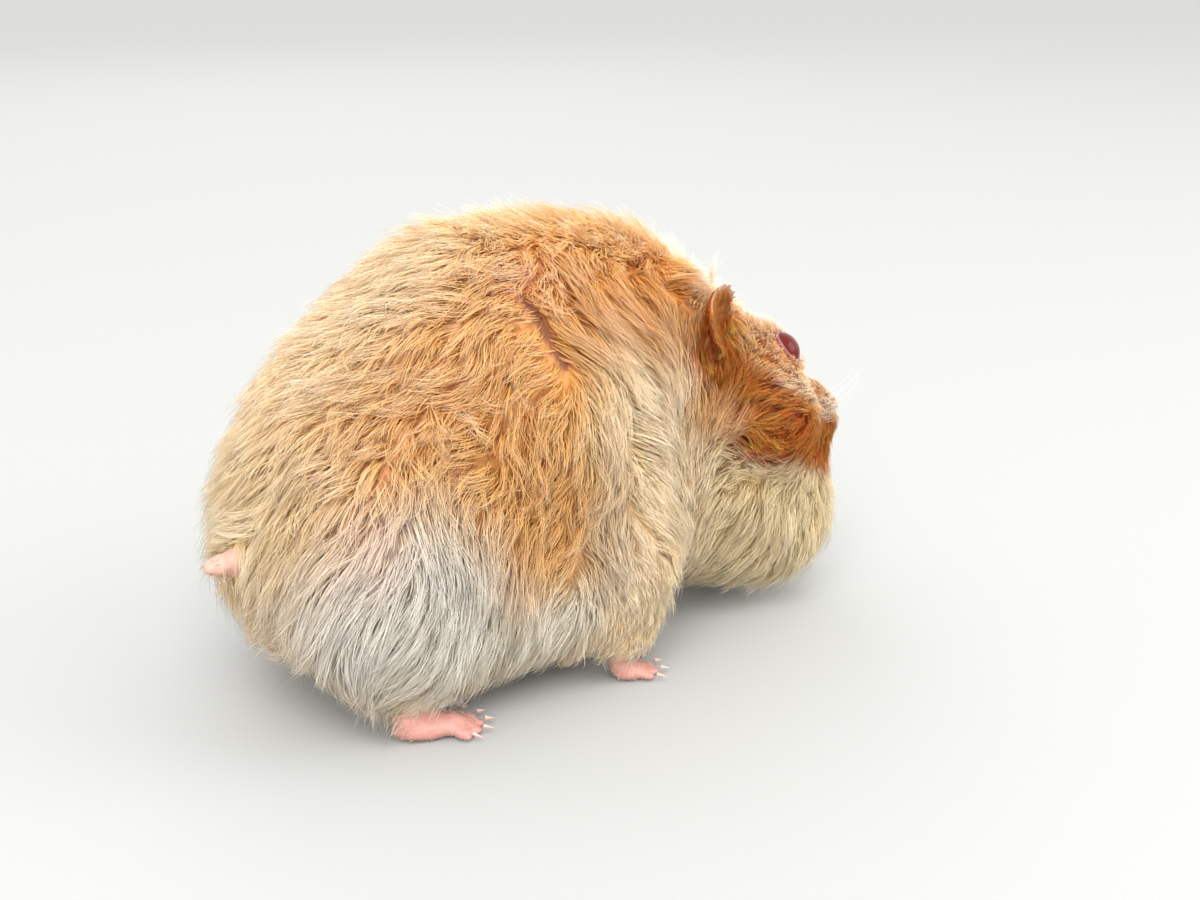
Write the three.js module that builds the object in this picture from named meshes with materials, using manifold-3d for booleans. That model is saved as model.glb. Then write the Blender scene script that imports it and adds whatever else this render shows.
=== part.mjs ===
// A long-haired Syrian hamster, life size, standing with its back arched, its head low and
// tilted to its left, and its ears laid back. The solids reach out to the tips of the coat.
// Millimetres, +X towards the head, +Y to the animal's left, +Z up. The origin is at the
// middle of the footprint, at the level of the floor.
import * as THREE from "three";
import { mergeVertices } from "three/addons/utils/BufferGeometryUtils.js";
import Module from "manifold-3d";

const wasm = await Module();
wasm.setup();

// ---- Driving sizes -------------------------------------------------------------------
const GAP = 0.3; // between neighbouring pieces
const FLOOR = 0;

// The head's own frame: x to the nose, y to the left, z to the crown. Angles in degrees.
const HEAD = { at: [49, -1, 43], yaw: 5, nod: 14, tilt: 28 };
const EYE = { at: [9.3, 8.8, 3.7], radius: 4.1 };
const NOSE = { at: [27.2, 0, -3.5], radii: [1.8, 2.3, 1.6] };
// Each ear grows from `at`, runs along `blade` and opens towards `opening`. Both are laid
// back, the left one less. They are given as on the animal's left side.
const EAR = { length: 17.5, width: 13, thickness: 1.3, cup: 3 };
const EARS = {
  l: { at: [-6.5, 12.5, 6], blade: [-0.5, 0.75, 0.42], opening: [0.75, 0.6, -0.2] },
  r: { at: [-8.5, 13, 3.5], blade: [-0.74, 0.64, 0.2], opening: [0.5, 0.8, -0.25] },
};
const TAIL = { at: [-33, -5, 29], length: 15.5, base: 2.4, tip: 1.7 }; // carried to the right

// Where each foot stands: the middle of its palm, with its heading from +X in degrees.
const FOREFOOT = { length: 5.6, width: 5.4, height: 3.6, toes: 4, toe: 3.4, thick: 0.95, fan: 34 };
const HINDFOOT = { length: 12, width: 6.2, height: 4.6, toes: 5, toe: 4.2, thick: 1.1, fan: 40 };
const TOE_DROOP = 9; // degrees
const CLAW = { length: 2, radius: 0.42, droop: 12 };
const STANCE = {
  forefoot_r: { at: [18.5, -22.5], heading: -8 },
  forefoot_l: { at: [57, 13], heading: 6 },
  hindfoot_r: { at: [-19, -23], heading: -12 },
  hindfoot_l: { at: [-15, 23], heading: 12 },
};

// ---- The coat as one smooth field of named masses --------------------------------------
// Each mass is an ellipsoid: its middle, its half sizes and, where it leans, its turn in
// degrees about X, Y and Z.
const TRUNK = [
  { at: [-18, 0, 36], radii: [24.5, 26, 25.5] }, // rump
  { at: [4, 0, 46.5], radii: [32, 28, 33] }, // loin and arched back
  { at: [24, 1, 50], radii: [21, 20, 27.5] }, // shoulders
  { at: [4, 0, 25], radii: [34, 26, 20] }, // belly
  ...pair({ at: [4, 15, 18], radii: [25, 12, 14] }), // flank fringe
  { at: [-26, 0, 24], radii: [18.5, 22, 17] }, // breech around the tail
];
const CHEST = [
  { at: [55.5, -4, 23], radii: [17, 15, 17] }, // ruff under the throat
  { at: [56, -4, 14.5], radii: [16, 15, 11] }, // its lower fringe
  { at: [41, -1, 25], radii: [19, 17, 19] }, // breast between the forelegs
];
const NECK = [{ at: [39, -1, 49], radii: [17, 13.5, 18], turn: [0, 12, 0] }];
const SKULL = [
  { at: [-1, 0, 0], radii: [16, 13, 13.5] },
  { at: [16, 0, -4], radii: [11.5, 7.5, 7.5], turn: [0, 6, 0] }, // muzzle
  ...pair({ at: [3, 10, -8], radii: [12, 8.5, 10] }), // cheeks
  ...pair({ at: [19, 5, -6], radii: [7.5, 5, 5.5] }), // whisker pads
];
const LEGS = [
  ...pair({ at: [-19, 18.5, 25], radii: [21, 14, 21] }), // haunches
  { at: [17, -19, 23], radii: [10, 8.5, 16] }, // right upper arm
  { at: [17.8, -21.5, 9], radii: [6, 5.6, 10] }, // right forearm
  { at: [41, 14, 24], radii: [12, 8, 13], turn: [0, 40, 0] }, // left upper arm
  { at: [52.5, 13.5, 11], radii: [6, 5.6, 12], turn: [0, -24, 0] }, // left forearm
];

function pair(mass) {
  const [x, y, z] = mass.at;
  return [mass, { ...mass, at: [x, -y, z] }];
}

const rad = THREE.MathUtils.degToRad;
const LEFT = 1;
const RIGHT = -1;

function placed(at, turn = [0, 0, 0]) {
  const spin = new THREE.Euler(...turn.map(rad), "ZYX");
  return new THREE.Matrix4().compose(
    new THREE.Vector3(...at),
    new THREE.Quaternion().setFromEuler(spin),
    new THREE.Vector3(1, 1, 1),
  );
}

const headFrame = placed(HEAD.at, [-HEAD.tilt, HEAD.nod, HEAD.yaw]);

// The distance from a point to a set of masses, blended over the given width.
function blended(masses, width, frame = new THREE.Matrix4()) {
  const shapes = masses.map((m) => ({
    into: frame.clone().multiply(placed(m.at, m.turn)).invert(),
    radii: new THREE.Vector3(...m.radii),
  }));
  const local = new THREE.Vector3();
  return (point) =>
    shapes
      .map(({ into, radii }) => {
        local.copy(point).applyMatrix4(into).divide(radii);
        const near = local.length();
        return (near * (near - 1)) / Math.max(local.divide(radii).length(), 1e-6);
      })
      .reduce((a, b) => smoothMin(a, b, width));
}

function smoothMin(a, b, width) {
  const h = Math.max(width - Math.abs(a - b), 0) / width;
  return Math.min(a, b) - (h * h * width) / 4;
}

const trunkField = blended(TRUNK, 12);
const neckField = blended(NECK, 8);
const chestField = blended(CHEST, 8);
const headField = blended(SKULL, 4, headFrame);
const legField = blended(LEGS, 4);

function coat(point) {
  let d = smoothMin(trunkField(point), neckField(point), 12);
  d = smoothMin(d, chestField(point), 6);
  d = smoothMin(d, headField(point), 5);
  return smoothMin(d, legField(point), 6);
}

// ---- Solids ------------------------------------------------------------------------------
function solid(geometry) {
  const bare = geometry.clone();
  bare.deleteAttribute("normal");
  bare.deleteAttribute("uv");
  const merged = mergeVertices(bare, 1e-4);
  return new wasm.Manifold(
    new wasm.Mesh({
      numProp: 3,
      vertProperties: merged.attributes.position.array,
      triVerts: new Uint32Array(merged.index.array),
    }),
  );
}

function geometryOf(manifold) {
  const { vertProperties, triVerts } = manifold.getMesh();
  const geometry = new THREE.BufferGeometry();
  geometry.setAttribute("position", new THREE.BufferAttribute(vertProperties, 3));
  geometry.setIndex(new THREE.BufferAttribute(triVerts, 1));
  geometry.computeVertexNormals();
  return geometry;
}

// How far the coat, grown by a margin, reaches from a point inside it along a direction.
function reach(centre, direction, margin) {
  const STEP = 1.5;
  const at = (t) => coat(centre.clone().addScaledVector(direction, t)) - margin;
  let far = STEP;
  while (at(far) < 0) far += STEP;
  let near = far - STEP;
  for (let i = 0; i < 14; i++) {
    const middle = (near + far) / 2;
    if (at(middle) < 0) near = middle;
    else far = middle;
  }
  return near;
}

// The whole coat as it is seen from a point inside it: a sphere drawn out to its surface.
function coatAround(at, detail, margin = 0) {
  const centre = new THREE.Vector3(...at);
  const geometry = new THREE.IcosahedronGeometry(1, detail);
  const position = geometry.attributes.position;
  const direction = new THREE.Vector3();
  for (let i = 0; i < position.count; i++) {
    direction.fromBufferAttribute(position, i).normalize();
    direction.multiplyScalar(reach(centre, direction, margin)).add(centre);
    position.setXYZ(i, direction.x, direction.y, direction.z);
  }
  return solid(geometry);
}

// An ellipsoid grown by a margin, used to part a limb from the trunk.
function oval({ at, radii, turn }, margin = 0) {
  const grown = radii.map((r) => r + margin);
  const ball = new THREE.SphereGeometry(1, 14, 9).rotateX(Math.PI / 2);
  return solid(ball.scale(...grown).applyMatrix4(placed(at, turn)));
}

// A flat cut through the whole animal. Each side keeps half of the gap.
function cut(through, normal) {
  const n = new THREE.Vector3(...normal).normalize();
  const offset = n.dot(new THREE.Vector3(...through));
  return {
    ahead: (s) => s.trimByPlane(n.toArray(), offset + GAP / 2),
    behind: (s) => s.trimByPlane(n.clone().negate().toArray(), GAP / 2 - offset),
  };
}

const shoulderCut = cut([35, 0, 42], [1, 0, 0]);
const napeCut = cut([43, -16, 48], [1, 0.12, 0.1]);
const throatCut = cut([55, -20, 33], [0.3, 0.12, 1]);
const NAPE = [43, 2, 44]; // a point inside the neck
const WRIST = 5.2; // height where a furred foreleg ends and its bare foot begins
const HOCK = 4.8; // the same for a hind leg

// The oval that parts each leg from the trunk, and a point inside the leg.
const LIMBS = {
  hindleg_r: { oval: { at: [-19, -27, 24], radii: [23, 17, 25] }, inside: [-19, -22, 24], end: HOCK },
  hindleg_l: { oval: { at: [-19, 27, 24], radii: [23, 17, 25] }, inside: [-19, 22, 24], end: HOCK },
  foreleg_r: { oval: { at: [17.5, -23, 14], radii: [11, 10, 22] }, inside: [18, -21, 14], end: WRIST },
  foreleg_l: { oval: { at: [49, 16, 9], radii: [15, 9, 16] }, inside: [50, 14, 12], end: WRIST },
};

const above = (s, height) => s.trimByPlane([0, 0, 1], height);
const below = (s, height) => s.trimByPlane([0, 0, -1], -height);
const withoutLimbs = (s) =>
  Object.values(LIMBS).reduce((rest, limb) => rest.subtract(oval(limb.oval, GAP)), s);

function leg({ oval: region, inside, end }) {
  return above(coatAround(inside, 4).intersect(oval(region)), end + GAP);
}

function trunk() {
  return withoutLimbs(shoulderCut.behind(coatAround([0, 0, 42], 9))).subtract(tail(GAP));
}

function chest() {
  return withoutLimbs(throatCut.behind(shoulderCut.ahead(coatAround([52, -2, 23], 5))));
}

function neck() {
  const front = shoulderCut.ahead(coatAround(NAPE, 6));
  return withoutLimbs(napeCut.behind(throatCut.ahead(front)));
}

function head() {
  const whole = withoutLimbs(throatCut.ahead(napeCut.ahead(coatAround(HEAD.at, 7))));
  const hollowed = [LEFT, RIGHT].reduce((s, side) => s.subtract(eye(side, GAP)), whole);
  return hollowed.subtract(nose(GAP));
}

// ---- Details in the head's frame ----------------------------------------------------------
const inHead = (s) => s.transform(headFrame.elements);
const onSide = (s, side) => (side === RIGHT ? s.mirror([0, 1, 0]) : s);

function eye(side, margin = 0) {
  const ball = new THREE.SphereGeometry(EYE.radius + margin, 12, 8).translate(...EYE.at);
  return inHead(onSide(solid(ball), side));
}

function nose(margin = 0) {
  const grown = NOSE.radii.map((r) => r + margin);
  return inHead(solid(new THREE.SphereGeometry(1, 8, 6).scale(...grown).translate(...NOSE.at)));
}

// A thin cupped leaf: a ball flattened, narrowed to its root and with its rim drawn up.
function ear({ at, blade, opening }, side) {
  const leaf = new THREE.SphereGeometry(1, 12, 8).rotateY(Math.PI / 2);
  const position = leaf.attributes.position;
  for (let i = 0; i < position.count; i++) {
    const [along, across, through] = [position.getX(i), position.getY(i), position.getZ(i)];
    const rise = (along + 1) / 2;
    const broad = 0.62 + 0.38 * Math.sin(Math.min(rise * 1.35, 1) * (Math.PI / 2));
    const rim = across * across + 0.35 * along * along;
    position.setXYZ(
      i,
      rise * EAR.length,
      (across * broad * EAR.width) / 2,
      (through * EAR.thickness) / 2 + EAR.cup * rim,
    );
  }
  const x = new THREE.Vector3(...blade).normalize();
  const y = new THREE.Vector3(...opening).cross(x).normalize();
  const z = x.clone().cross(y);
  const frame = new THREE.Matrix4().makeBasis(x, y, z).setPosition(...at);
  return inHead(onSide(solid(leaf.applyMatrix4(frame)), side));
}

// ---- Tail and feet --------------------------------------------------------------------------
// A tapering stub along -X with a round end.
function tail(margin = 0) {
  const { length, base, tip } = TAIL;
  const outline = [
    [0, 0],
    [base + margin, 0],
    [(base + tip) / 2 + margin, length * 0.55],
    [tip + margin, length - tip],
    [tip * 0.7 + margin, length - tip * 0.3 + margin],
    [0, length + margin],
  ].map(([r, along]) => new THREE.Vector2(r, along));
  const stub = new THREE.LatheGeometry(outline, 10);
  return solid(stub.rotateZ(Math.PI / 2).translate(...TAIL.at));
}

// The toes of a foot, each from its knuckle to its tip, in the foot's frame.
function toesOf({ length, width, toes, toe, thick, fan }) {
  return Array.from({ length: toes }, (_, i) => {
    const share = (i / (toes - 1)) * 2 - 1;
    const heading = rad(-share * fan);
    const reachOut = toe * (1 - 0.22 * share * share);
    const knuckle = [length * (0.42 - 0.1 * share * share), (-share * width * 0.72) / 2];
    return { heading, reachOut, knuckle, thick, lift: thick + 0.25 };
  });
}

// A foot stands on a flat sole at the floor: palm, ankle and toes in one piece.
function foot(shape, ankleHeight, margin = 0) {
  const { length, width, height } = shape;
  const ball = (x, z, ...radii) => {
    const grown = radii.map((r) => r + margin);
    return solid(new THREE.SphereGeometry(1, 8, 5).scale(...grown).translate(x, 0, z));
  };
  const palm = ball(0, height * 0.42, length * 0.56, width / 2, height * 0.5);
  const ankle = ball(-length * 0.3, ankleHeight * 0.75, width * 0.42, width * 0.4, ankleHeight * 0.7);
  const toes = toesOf(shape).map(({ heading, reachOut, knuckle, thick, lift }) => {
    const toe = new THREE.CapsuleGeometry(thick + margin, reachOut, 2, 5);
    toe.rotateZ(-Math.PI / 2).translate(reachOut / 2 - thick, 0, 0);
    toe.rotateY(rad(TOE_DROOP)).rotateZ(heading).translate(...knuckle, lift);
    return solid(toe);
  });
  const whole = toes.reduce((s, toe) => s.add(toe), palm.add(ankle));
  return below(above(whole, FLOOR), ankleHeight);
}

// Small curved cones just past the toes' tips, in the foot's frame.
function clawsOf(shape, ankleHeight) {
  const skin = foot(shape, ankleHeight, GAP);
  return toesOf(shape).map(({ heading, reachOut, knuckle, thick, lift }) => {
    const claw = new THREE.ConeGeometry(CLAW.radius, CLAW.length, 5).rotateZ(-Math.PI / 2);
    claw.rotateY(rad(CLAW.droop)).translate(reachOut - thick + 0.9 + CLAW.length / 2, 0, 0);
    claw.rotateZ(heading).translate(...knuckle, lift + 0.1);
    return solid(claw).subtract(skin);
  });
}

// ---- The scene graph ----------------------------------------------------------------------
const paint = (color, roughness) => new THREE.MeshStandardMaterial({ color, roughness });
const COAT = paint(0xe0a768, 0.9);
const CREAM = paint(0xe6d3b0, 0.9);
const RUSSET = paint(0xa8672a, 0.9);
const EAR_SKIN = paint(0x8d7468, 0.75);
const SKIN = paint(0xd9a79a, 0.6);
const RUBY = paint(0x3d0a0a, 0.08);
const HORN = paint(0xd8c2b0, 0.4);

const model = new THREE.Group();

function addTo(group, name, shape, material) {
  const mesh = new THREE.Mesh(geometryOf(shape), material);
  mesh.name = name;
  group.add(mesh);
}

addTo(model, "trunk", trunk(), COAT);
addTo(model, "chest", chest(), CREAM);
addTo(model, "neck", neck(), COAT);
addTo(model, "head", head(), RUSSET);
addTo(model, "tail", tail(), SKIN);
addTo(model, "nose", nose(), SKIN);
for (const [name, limb] of Object.entries(LIMBS)) addTo(model, name, leg(limb), CREAM);

// The ears stand on the coat of the head and neck, clear of it by the gap.
const seat = coatAround(HEAD.at, 7, GAP).add(coatAround(NAPE, 6, GAP));
for (const [tag, side] of [["l", LEFT], ["r", RIGHT]]) {
  addTo(model, `eye_${tag}`, eye(side), RUBY);
  addTo(model, `ear_${tag}`, ear(EARS[tag], side).subtract(seat), EAR_SKIN);
}

for (const [name, { at, heading }] of Object.entries(STANCE)) {
  const [shape, ankleHeight] = name.startsWith("fore") ? [FOREFOOT, WRIST] : [HINDFOOT, HOCK];
  const stand = new THREE.Group();
  stand.position.set(...at, 0);
  stand.rotation.z = rad(heading);
  addTo(stand, name, foot(shape, ankleHeight), SKIN);
  clawsOf(shape, ankleHeight).forEach((claw, i) => addTo(stand, `${name}_claw_${i + 1}`, claw, HORN));
  model.add(stand);
}

// Bring the middle of the footprint to the origin.
model.updateMatrixWorld(true);
const box = new THREE.Box3().setFromObject(model, true);
const middle = box.getCenter(new THREE.Vector3());
model.position.set(-middle.x, -middle.y, -box.min.z);

export default model;
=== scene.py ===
"""A long-haired Syrian hamster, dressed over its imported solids: one skin, a coat of tapered
strands gathered in locks, eyes, claws and whiskers. Lengths are in millimetres where no comment
says metres. +X is towards the head, +Y is the animal's left."""
import math

import bpy
import numpy as np
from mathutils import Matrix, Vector
from mathutils.bvhtree import BVHTree
from mathutils.kdtree import KDTree


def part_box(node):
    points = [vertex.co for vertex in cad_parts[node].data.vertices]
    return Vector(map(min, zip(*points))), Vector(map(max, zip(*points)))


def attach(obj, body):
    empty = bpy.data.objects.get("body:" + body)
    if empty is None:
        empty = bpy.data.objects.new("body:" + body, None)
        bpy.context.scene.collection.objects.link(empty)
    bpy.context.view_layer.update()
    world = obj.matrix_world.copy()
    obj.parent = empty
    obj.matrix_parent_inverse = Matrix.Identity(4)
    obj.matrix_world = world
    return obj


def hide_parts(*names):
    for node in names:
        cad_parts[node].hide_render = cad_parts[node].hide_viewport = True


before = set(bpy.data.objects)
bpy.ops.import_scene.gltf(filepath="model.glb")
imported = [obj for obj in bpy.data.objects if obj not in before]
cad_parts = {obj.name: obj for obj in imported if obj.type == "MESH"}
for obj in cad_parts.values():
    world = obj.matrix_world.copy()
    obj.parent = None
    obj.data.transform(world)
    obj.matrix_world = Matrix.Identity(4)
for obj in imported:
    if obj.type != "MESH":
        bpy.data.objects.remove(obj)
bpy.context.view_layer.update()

MM = 0.001
rng = np.random.default_rng(41)

# ---- Driving values ----
SKIN_VOXEL = 0.62
LOCKS = 7000
STRAND_SIDES = 3
COAT_TRIANGLES = 1_470_000
PIECE_TRIANGLES = 190_000
# For strands over each length: where their rings lie from root to tip, and how wide they are.
STRAND_RINGS = {
    13.8: ((0.0, 0.26, 0.52, 0.78), (0.75, 1.0, 0.86, 0.55)),
    7.0: ((0.0, 0.34, 0.70), (0.8, 1.0, 0.65)),
    0.0: ((0.0, 0.5), (0.9, 0.85)),
}
# Short, low strands that fill the coat. Their width is a share of the coat's length.
UNDERCOAT = {"share": 0.32, "width": 0.03, "reach": 0.7, "height": 0.5}
GUIDE_STEPS = 7
TUFT_PATCH = 0.003  # size of a strand's patch on the unwrap
FLOOR_CLEARANCE = 0.4  # of a strand's middle line
STRAND_CLEARANCE = 0.2

# Colours are sRGB, 0 to 255, as the coat looks from a little way off.
PALETTE = {
    "golden": (226, 176, 114),
    "pale_gold": (242, 214, 170),
    "orange": (226, 162, 88),
    "deep_orange": (208, 138, 64),
    "russet": (166, 78, 32),
    # Painted shade for the gap of the parting.
    "parting_shade_russet": (112, 48, 30),
    "cream": (224, 200, 154),
    "white_cream": (220, 214, 201),
    "leg_cream": (198, 172, 138),
    # Pale belly fur, lighter still as painted light bounced up from below onto the lower flank.
    "low_white_painted_bounce": (238, 238, 224),
    "muzzle": (214, 176, 130),
    "skin_pink": (214, 150, 126),
    "paw_pink": (186, 132, 122),
    "tail_pink": (198, 156, 140),
    "ear_grey": (150, 116, 98),
    "lid": (124, 72, 72),
    # Painted shade for the nostrils and the groove under them.
    "nose_pink": (214, 146, 134),
    "nostril": (96, 44, 44),
}
# A strand's own colour is deeper than the coat's, which is lit through and pale from afar.
STRAND_GAMMA = 1.14


def linear(name):
    c = np.array(PALETTE[name], float) / 255
    return np.where(c <= 0.04045, c / 12.92, ((c + 0.055) / 1.055) ** 2.4)


def unit(v):
    v = np.asarray(v, float)
    return v / np.maximum(np.linalg.norm(v, axis=-1, keepdims=True), 1e-9)


def smoothstep(low, high, x):
    t = np.clip((x - low) / (high - low), 0, 1)
    return t * t * (3 - 2 * t)


def mix(a, b, w):
    return a + (b - a) * w


def tinted(colours, name, weight):
    """Colours drawn towards a named one, each by its own weight."""
    return mix(colours, linear(name), weight[:, None])


def ripple(p, period, seed, waves=7):
    """A smooth random field between about -1 and 1 that varies over the given length."""
    r = np.random.default_rng(seed)
    k = unit(r.normal(size=(waves, 3))) * (2 * math.pi / period) * r.uniform(0.6, 1.5, (waves, 1))
    phase = r.uniform(0, 2 * math.pi, waves)
    return np.sin(p @ k.T + phase).sum(1) / math.sqrt(waves * 0.7)


def patch(p, at, radii, soft=0.35):
    """How much of a point lies in a soft-edged oval patch or in its mirror image on the left."""
    q = p.copy()
    q[:, 1] = -np.abs(q[:, 1])
    far = np.linalg.norm((q - np.array(at)) / np.array(radii), axis=1)
    return smoothstep(1 + soft, 1 - soft, far)


# ---- Places taken from the frame ----
def middle(node):
    low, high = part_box(node)
    return (np.array(low) + np.array(high)) / (2 * MM)


EYES = {side: middle("eye_" + side) for side in "lr"}
EYE_RADIUS = (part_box("eye_l")[1][0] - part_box("eye_l")[0][0]) / (2 * MM)
NOSE = middle("nose")
BROW = (EYES["l"] + EYES["r"]) / 2
TAIL = middle("tail")
# The face's own frame: along the muzzle, to the animal's left, and up from the muzzle.
FACE_Y = unit(EYES["l"] - EYES["r"])
FACE_X = unit((NOSE - BROW) - ((NOSE - BROW) @ FACE_Y) * FACE_Y)
FACE_Z = np.cross(FACE_X, FACE_Y)
FACE = np.stack([FACE_X, FACE_Y, FACE_Z])


def to_face(p):
    return (p - BROW) @ FACE.T


# The lids' opening, their rim and the skin drawn over the eyeball, as angles at its centre.
LID_OPENING = math.radians(55)
LID_RIM = math.radians(9)
LID_BAND = math.radians(24)
LID_REACH = 1.0  # how far off the eyeball a point is still on a lid
# Which way an eye looks: forwards, outwards and upwards in the face.
EYE_LOOKS = (0.18, 0.85, 0.5)


def eye_axis(side):
    forward, outward, upward = EYE_LOOKS
    return unit(np.array([forward, outward if side == "l" else -outward, upward]) @ FACE)


def eye_angle(p, side):
    """The angle at the eye's centre between the way it looks and each point."""
    return np.arccos(np.clip(unit(p - EYES[side]) @ eye_axis(side), -1, 1))


def off_eye(p, side):
    """How far each point is from the ball of an eye."""
    return np.linalg.norm(p - EYES[side], axis=1) - EYE_RADIUS


# ---- Meshes as arrays ----
def read(items, name, width=1, kind=np.int32):
    """One value, or a row of them, from each of a mesh's items."""
    values = np.empty(len(items) * width, kind)
    items.foreach_get(name, values)
    return values.reshape(-1, width) if width > 1 else values


def vertex_places(mesh):
    return read(mesh.vertices, "co", 3, np.float32).astype(float) / MM


def joined_nodes(names):
    """The nodes' vertices and triangles in one set, with the node that each triangle is from."""
    points, faces, owners = [], [], []
    start = 0
    for i, name in enumerate(names):
        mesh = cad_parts[name].data
        mesh.calc_loop_triangles()
        co = vertex_places(mesh)
        tri = read(mesh.loop_triangles, "vertices", 3)
        points.append(co)
        faces.append(tri + start)
        owners.append(np.full(len(tri), i))
        start += len(co)
    return np.concatenate(points), np.concatenate(faces), np.concatenate(owners)


def add_object(name, data):
    obj = bpy.data.objects.new(name, data)
    bpy.context.scene.collection.objects.link(obj)
    return obj


def mesh_from(name, points, loops, starts):
    """A smooth mesh from its vertices, each face's corners in turn and where each face starts."""
    mesh = bpy.data.meshes.new(name)
    mesh.vertices.add(len(points))
    mesh.vertices.foreach_set("co", (points * MM).astype(np.float32).ravel())
    mesh.loops.add(len(loops))
    mesh.loops.foreach_set("vertex_index", loops.astype(np.int32))
    mesh.polygons.add(len(starts))
    mesh.polygons.foreach_set("loop_start", starts.astype(np.int32))
    mesh.polygons.foreach_set("use_smooth", np.full(len(starts), True))
    mesh.update(calc_edges=True)
    return mesh


def paint(mesh, name, colours):
    layer = mesh.color_attributes.new(name, "FLOAT_COLOR", "POINT")
    rgba = np.concatenate([np.clip(colours, 0, 1), np.ones((len(colours), 1))], 1)
    layer.data.foreach_set("color", rgba.astype(np.float32).ravel())


# ---- Skin ----
FLESH = sorted(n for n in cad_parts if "claw" not in n and not n.startswith("eye"))
BODY_NODES = FLESH + ["eye_l", "eye_r"]
FEET = ("forefoot", "hindfoot")
BARE = (*FEET, "ear", "tail", "nose")

# What the coat is like over each node: how deep it is, how long and wide its strands are,
# how many there are, how much they curl, and how closely the strands of a lock draw together.
STYLES = {
    "trunk": (4.6, 10.5, 0.11, 1.1, 0.7, 0.24),
    "neck": (4.4, 11.0, 0.12, 1.2, 0.5, 0.22),
    "chest": (4.0, 10.0, 0.12, 1.1, 0.4, 0.2),
    "head": (2.4, 5.5, 0.11, 2.4, 0.3, 0.16),
    "hindleg": (4.6, 13.6, 0.11, 1.1, 0.35, 0.24),
    "foreleg": (1.8, 5.5, 0.11, 1.7, 0.3, 0.2),
    "forefoot": (0.05, 1.2, 0.08, 0.8, 0.2, 0.2),
    "hindfoot": (0.05, 1.4, 0.08, 0.7, 0.2, 0.2),
    "ear": (0.05, 3.0, 0.11, 4.6, 0.2, 0.2),
    "tail": (0.15, 1.6, 0.09, 1.0, 0.3, 0.2),
    "nose": (0.0, 0.9, 0.08, 3.6, 0.2, 0.2),
}
DEPTH, LENGTH, WIDTH, DENSITY, CURL, CLUMP = range(6)


def kind_of(node):
    return node.split("_")[0]


class Surface:
    """The skin as arrays, with the tools that shape it."""

    def __init__(self, mesh):
        self.points = vertex_places(mesh)
        self.loops = read(mesh.loops, "vertex_index")
        self.starts = read(mesh.polygons, "loop_start")
        quads = self.starts[:, None] + np.arange(4)
        # The loops of each triangle, so that both its corners and its unwrap can be read.
        self.triangle_loops = np.concatenate([quads[:, [0, 1, 2]], quads[:, [0, 2, 3]]])
        self.triangles = self.loops[self.triangle_loops]
        corners = self.loops[quads]
        edges = np.concatenate([corners[:, [i, (i + 1) % 4]] for i in range(4)])
        self.a, self.b = np.unique(np.sort(edges, 1), axis=0).T
        both = np.concatenate([self.a, self.b])
        self.degree = np.bincount(both, minlength=len(self.points)).astype(float)[:, None]

    def around(self, values):
        """The average of each vertex's neighbours."""
        total = np.zeros_like(values)
        for c in range(values.shape[1]):
            total[:, c] = np.bincount(self.a, values[self.b, c], len(values))
            total[:, c] += np.bincount(self.b, values[self.a, c], len(values))
        return total / self.degree

    def smooth(self, rounds, share):
        for _ in range(rounds):
            self.points += (self.around(self.points) - self.points) * share

    def crosses(self):
        """The normal of each triangle, as long as twice its area."""
        p = self.points[self.triangles]
        return np.cross(p[:, 1] - p[:, 0], p[:, 2] - p[:, 0])

    def per_triangle(self, values):
        """Twice each triangle's area times the average of its corners' values."""
        return np.linalg.norm(self.crosses(), axis=1) * values[self.triangles].mean(1)

    def normals(self):
        n = self.crosses()
        total = np.zeros_like(self.points)
        for corner in range(3):
            for c in range(3):
                total[:, c] += np.bincount(self.triangles[:, corner], n[:, c], len(total))
        return unit(total)

    def tree(self):
        return BVHTree.FromPolygons(self.points.tolist(), self.triangles.tolist())


def remeshed(points, faces):
    mesh = bpy.data.meshes.new("whole")
    mesh.from_pydata((points * MM).tolist(), [], faces.tolist())
    obj = add_object("whole", mesh)
    mod = obj.modifiers.new("voxels", "REMESH")
    mod.mode = "VOXEL"
    mod.voxel_size = SKIN_VOXEL * MM
    graph = bpy.context.evaluated_depsgraph_get()
    result = bpy.data.meshes.new_from_object(obj.evaluated_get(graph))
    bpy.data.objects.remove(obj)
    return result


# The face's coat at the nape, at the brow and at the nose.
FACE_COAT = {
    DEPTH: (4.4, 2.0, 0.9),
    LENGTH: (9.0, 6.2, 3.6),
    WIDTH: (0.12, 0.11, 0.09),
    DENSITY: (1.3, 2.6, 5.0),
}
CHEEK_COAT = {DEPTH: 1.0, LENGTH: 2.5}  # what the cheeks have more
# What the coat has at most or at least beside an eye, and what each millimetre off it adds.
EYE_COAT = {
    DEPTH: (np.minimum, 0.35, 0.4),
    LENGTH: (np.minimum, 2.6, 0.7),
    WIDTH: (np.minimum, 0.09, 0.02),
    DENSITY: (np.maximum, 4.0, -0.5),
}


def face_style(p, style):
    """The face's coat grows shorter and finer towards the nose and the eyes."""
    x, _, z = to_face(p).T
    forward = smoothstep(-14, 6, x)
    muzzle = smoothstep(4, 16, x)
    for column, (nape, brow, nose) in FACE_COAT.items():
        style[:, column] = mix(mix(nape, brow, forward), nose, muzzle)
    cheek = smoothstep(-8, -16, z) * (1 - muzzle)
    for column, more in CHEEK_COAT.items():
        style[:, column] += more * cheek
    for side in "lr":
        far = np.maximum(off_eye(p, side), 0)
        for column, (limited, at_eye, slope) in EYE_COAT.items():
            style[:, column] = limited(style[:, column], at_eye + slope * far)
    return style


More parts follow.
